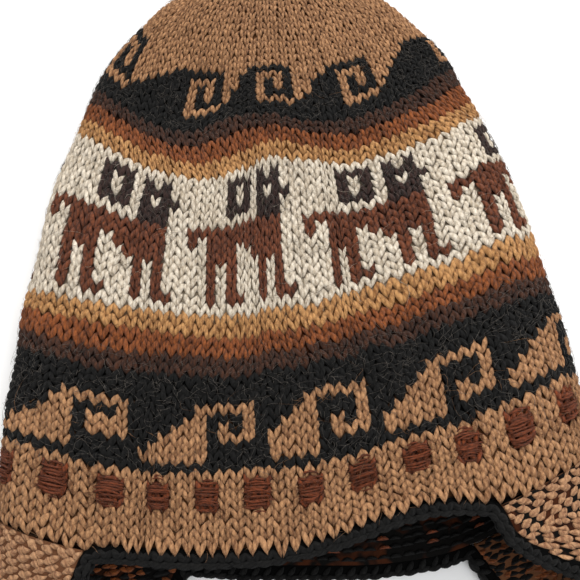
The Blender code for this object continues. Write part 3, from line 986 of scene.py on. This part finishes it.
def addFibres(stitches):
    templates = {"long": strandTemplate(3, 4), "short": strandTemplate(3, 3)}
    made = []
    for yarn, (longOnes, shortOnes, colour) in fibres.items():
        chosen = [stitch for stitch in stitches if stitch[3] == yarn]
        for size, number in (("long", longOnes), ("short", shortOnes)):
            shortest, longest, lowest, highest, thick = fibreSizes[size]
            template = templates[size]
            along = template["along"][None, :]
            picked = chance.integers(0, len(chosen), number)
            rows = np.array([chosen[i][0] for i in picked]) + chance.uniform(0.0, 1.0, number)
            middles = np.array([chosen[i][1] for i in picked]) + chance.uniform(-0.5, 0.5, number)
            turn = chance.uniform(0.0, 2.0 * math.pi, number)[:, None]
            reach = chance.uniform(0.0, 1.0, number) ** 1.6
            length = (shortest + (longest - shortest) * reach)[:, None]
            curl = chance.normal(0.0, 1.5, number)[:, None]
            kink = chance.normal(0.0, 0.10, number)[:, None] * length
            phase = chance.uniform(0.0, 6.28, number)[:, None]
            ahead = along * length - kink * 0.3 * np.sin(9.0 * along)
            aside = 0.5 * curl * along ** 2 * length + kink * np.sin(7.0 * along + phase)
            radius = template["closing"] * thick
            spread = radius * template["cos"]
            across = ahead * np.cos(turn) - aside * np.sin(turn) - spread * np.sin(turn)
            up = ahead * np.sin(turn) + aside * np.cos(turn) + spread * np.cos(turn)
            high = chance.uniform(lowest, highest, number)[:, None]
            free = chance.uniform(0.0, 1.0, number)[:, None] < 0.45
            lift = 0.05 + high * np.where(free, along, np.sin(math.pi * along))
            lift = lift + radius * template["sin"]
            row = np.clip(rows[:, None] + up * 0.001 / knitting["rowHeight"], -1.0, 75.0)
            stitch = middles[:, None] + across * 0.001 / knitting["stitchWidth"]
            where = onHat(row, stitch, lift * 0.001)
            # Fibres are toned a little lighter than their yarn: painted sheen
            tones = chance.normal(0.05, 0.12, number)
            label = "fibres_%s_%s" % (yarn, size)
            made.append(copiesToMesh(label, template, where, tones, wool[colour]))
    return made


extras = [addSquares(), *addInside(), *addFibres(stitches)]
for piece in extras:
    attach(piece, "root")
print("squares, inside and loose fibres added")


def listBumps(points):
    # Row, column and half width of each bump, half a stitch from those in the next row, and the
    # lattice steps from one row of bumps to the next
    steps, columns = flapShape["steps"], flapShape["columns"]
    middle = points[:, columns // 2]
    length = float(np.linalg.norm(np.diff(middle, axis=0), axis=1).sum())
    count = int(round(length / flapShape["ridge"]))
    bumps = []
    for index in range(count):
        row = (index + 0.5) / count * steps
        at = int(min(row, steps - 1))
        width = float(np.linalg.norm(np.diff(points[at], axis=0), axis=1).sum())
        number = max(int(round(width / flapShape["bump"])), 1)
        for k in range(number):
            column = (k + 0.25 + 0.5 * (index % 2)) / number * columns
            bumps.append((row, column, 0.5 * columns / number))
    return np.array(bumps), steps * flapShape["ridge"] / length


def bumpPoints(lattice, template, bumps, rowStep, face):
    number = len(bumps)
    along = template["along"][None, :]
    wobble = chance.normal(0.0, 1.0, (number, 4))
    # Bumps bend up and down in turn
    bend = np.where(np.arange(number) % 2 == 0, 1.0, -1.0)[:, None]
    radius = template["closing"] * (1.0 + 0.10 * wobble[:, 0:1])
    radius = radius * (0.80 + 0.25 * np.sin(math.pi * along))
    row = bumps[:, 0:1] + np.sin(math.pi * along) * 0.42 * rowStep * bend
    row = row + 0.1 * rowStep * wobble[:, 1:2]
    row = row + radius * template["cos"] * flapShape["thickness"] / flapShape["ridge"] * rowStep
    row = row + (along - 0.5) * rowStep * 0.30 * chance.normal(0.0, 1.0, (number, 1))
    reach = 3.0 * bumps[:, 2:3] * (1.0 + 0.08 * wobble[:, 2:3])
    column = bumps[:, 1:2] + (along - 0.5) * reach
    lift = -1.70 + radius * template["sin"] * 1.25 + 0.5 * np.sin(math.pi * along)
    lift = lift + 0.15 * wobble[:, 3:4]
    lift = lift if face > 0 else -4.0 - lift
    row = np.clip(row, 0, flapShape["steps"])
    column = np.clip(column, 0, flapShape["columns"])
    where = onLattice(lattice, row, column, lift * 0.001, False)
    where[..., 2] = np.maximum(where[..., 2], 0.0002)
    return where


def addFlap(name, flap):
    lattice = flapLattice(flap)
    steps, columns = flapShape["steps"], flapShape["columns"]

    def place(along, across):
        depth = np.full(along.shape, -0.0011)
        return onLattice(lattice, along * steps, across * columns, depth, False)

    def colours(along, across):
        # Painted shade between the garter bumps: the flap yarn's shade, darkened by 0.8
        return [np.array(linear(yarns["flapCamel"]["shade"])) * 0.8] * len(along)
    sheet = gridPiece(name + "_ground", columns, steps, place, ground, colours)
    addWall(sheet, 0.0018, flap["side"])
    bumps, rowStep = listBumps(lattice[0])
    made = []
    for face, part, template in (
            (1.0, "outer", strandTemplate(5, 4)), (-1.0, "inner", strandTemplate(4, 3))):
        where = bumpPoints(lattice, template, bumps, rowStep, face)
        if face * flap["side"] > 0:
            template = dict(template, faces=[corners[::-1] for corners in template["faces"]])
        # Inside, black and rust floats cross the camel
        if face > 0:
            kinds = {"flapCamel": np.ones(len(bumps), bool)}
        else:
            drift = np.sin(bumps[:, 0] * 0.55) + np.sin(bumps[:, 1] * 0.7 + 1.0)
            drift = drift + chance.normal(0.0, 0.7, len(bumps))
            kinds = {"black": drift < 0.45, "rust": drift >= 0.45}
        for yarn, mask in kinds.items():
            label = "%s_%s_%s" % (name, part, yarn)
            tones = chance.normal(0.0, 0.08, mask.sum())
            made.append(copiesToMesh(label, template, where[mask], tones, wool[yarn]))
    for piece in (sheet, *made):
        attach(piece, "root")
    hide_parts(name)
    return lattice


flapLattices = {name: addFlap(name, flap) for name, flap in flaps.items()}
print("flaps knitted")


edging = {
    "radius": 0.0023,
    "gap": 0.0007,
    "stitch": 0.0046,       # length of one crocheted stitch
    "strand": 0.0012,
    "coreAcross": 0.0031,   # half size of the core away from the fabric, which it reaches into
    "coreThick": 0.0012,
    "coreShift": -0.0010,
    "coreStep": 0.003,
}
# Strands of one crocheted stitch: along from and to in stitches, outward and face from and to in mm
edgingStrands = {
    "cap_front": ((-0.25, 1.25), (0.9, 1.3), (0.9, 0.8)),
    "cap_back": ((-0.05, 1.45), (0.9, 1.3), (-0.9, -0.8)),
    "post_front": ((0.05, 0.75), (-2.6, 0.9), (0.9, 1.05)),
    "post_back": ((0.35, 1.05), (-2.6, 0.9), (-0.9, -1.05)),
    "under_front": ((0.45, 1.30), (0.4, -2.4), (1.15, 0.9)),
}


def flapRun(name, reverse):
    # Rim of a flap as points and directions out of the fabric's face: one edge, the end, the other
    grid, outward = flapLattices[name]
    if reverse:
        grid, outward = grid[:, ::-1], outward[:, ::-1]
    points = np.concatenate((grid[:, 0], grid[-1, 4:-4:4], grid[::-1, -1]))
    facing = np.concatenate((outward[:, 0], outward[-1, 4:-4:4], outward[::-1, -1]))
    return points, facing


def brimRun(first, last, count):
    place = np.linspace(first, last, count + 1)[1:-1]
    turns = np.floor((place - stitchPlaces["waves"][0]) / knitting["stitches"])
    inside = place - turns * knitting["stitches"]
    stitch = np.interp(inside, stitchPlaces["waves"], stitchPlaces["stitch"])
    flat = np.zeros(len(place))
    edge = onHat(flat, stitch, flat)
    down = edge - onHat(flat + 2.0, stitch, flat)
    ahead = onHat(flat, stitch + 0.1, flat) - edge
    return edge, unit(np.cross(down, ahead))


def smoothed(values):
    return 0.25 * np.roll(values, 1, axis=0) + 0.5 * values + 0.25 * np.roll(values, -1, axis=0)


def edgingLine():
    # The closed line of the edging, with the fabric's facing and the way away from it
    left, right = flaps["ear_flap_left"], flaps["ear_flap_right"]
    runs = (
        brimRun(left["last"], right["first"] + knitting["stitches"], 30),
        flapRun("ear_flap_right", False),
        brimRun(right["last"], left["first"], 20),
        flapRun("ear_flap_left", True),
    )
    facing = np.concatenate([outward for points, outward in runs])
    rim = np.concatenate([points - 0.5 * flapShape["wall"] * outward for points, outward in runs])
    ahead = unit(np.roll(rim, -1, axis=0) - rim)
    along = unit(ahead + np.roll(ahead, 1, axis=0))
    away = unit(np.cross(along, facing))
    line = rim + away * (edging["radius"] + edging["gap"])
    for turn in range(3):
        line, facing, away = smoothed(line), unit(smoothed(facing)), unit(smoothed(away))
    line[:, 2] = np.maximum(line[:, 2], edging["radius"])
    return line, facing, away


def addEdging():
    line, facing, away = edgingLine()
    closedLine = np.concatenate((line, line[:1]))
    used = np.concatenate(([0.0], np.cumsum(np.linalg.norm(np.diff(closedLine, axis=0), axis=1))))
    total = used[-1]

    def at(values, wanted):
        wrapped = np.concatenate((values, values[:1]))
        wanted = np.mod(wanted, total)
        return np.stack([np.interp(wanted, used, wrapped[:, axis]) for axis in range(3)], axis=-1)

    def place(along, out, face):
        where = at(line, along) + at(away, along) * out[..., None] + at(facing, along) * face[..., None]
        where[..., 2] = np.maximum(where[..., 2], 0.0002)
        return where

    # The core: a closed tube along the line
    def corePlace(along, across):
        turn = across * 2.0 * math.pi
        out = edging["coreShift"] + edging["coreAcross"] * np.cos(turn)
        return place(along * total, out, edging["coreThick"] * np.sin(turn))

    def coreColours(along, across):
        # Painted shade inside the edging: the black yarn's darker shade
        return [np.array(linear(yarns["black"]["shade"]))] * len(along)
    tube = gridPiece(
        "edging_core", 8, int(total / edging["coreStep"]), corePlace, ground, coreColours,
        closed=True)
    template = strandTemplate(5, 5)
    along = template["along"][None, :]
    count = int(round(total / edging["stitch"]))
    begin = np.arange(count) * total / count
    step = total / count
    made = []
    for name, (reach, out, face) in edgingStrands.items():
        wobble = chance.normal(0.0, 1.0, (count, 4))
        radius = template["closing"] * (0.80 + 0.30 * np.sin(math.pi * along))
        radius = radius * (1.0 + 0.08 * wobble[:, 0:1]) * edging["strand"]
        forward = reach[0] + (reach[1] - reach[0]) * along + 0.05 * wobble[:, 1:2]
        outward = out[0] + (out[1] - out[0]) * along + 0.15 * wobble[:, 2:3]
        outward = (outward + 0.35 * np.sin(math.pi * along)) * 0.001
        height = (face[0] + (face[1] - face[0]) * along + 0.12 * wobble[:, 3:4]) * 0.001
        slant = math.atan2((out[1] - out[0]) * 0.001, (reach[1] - reach[0]) * step)
        forward = begin[:, None] + forward * step - radius * template["cos"] * math.sin(slant)
        outward = outward + radius * template["cos"] * math.cos(slant)
        where = place(forward, outward, height + radius * template["sin"])
        tones = chance.normal(0.0, 0.1, count)
        made.append(copiesToMesh("edging_" + name, template, where, tones, wool["black"]))
    for piece in (tube, *made):
        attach(piece, "root")
    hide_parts("crochet_edging")


addEdging()
print("edging crocheted")

triangles = sum(len(face.vertices) - 2 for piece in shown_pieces() for face in piece.data.polygons)
print("triangles before walls are added:", triangles)
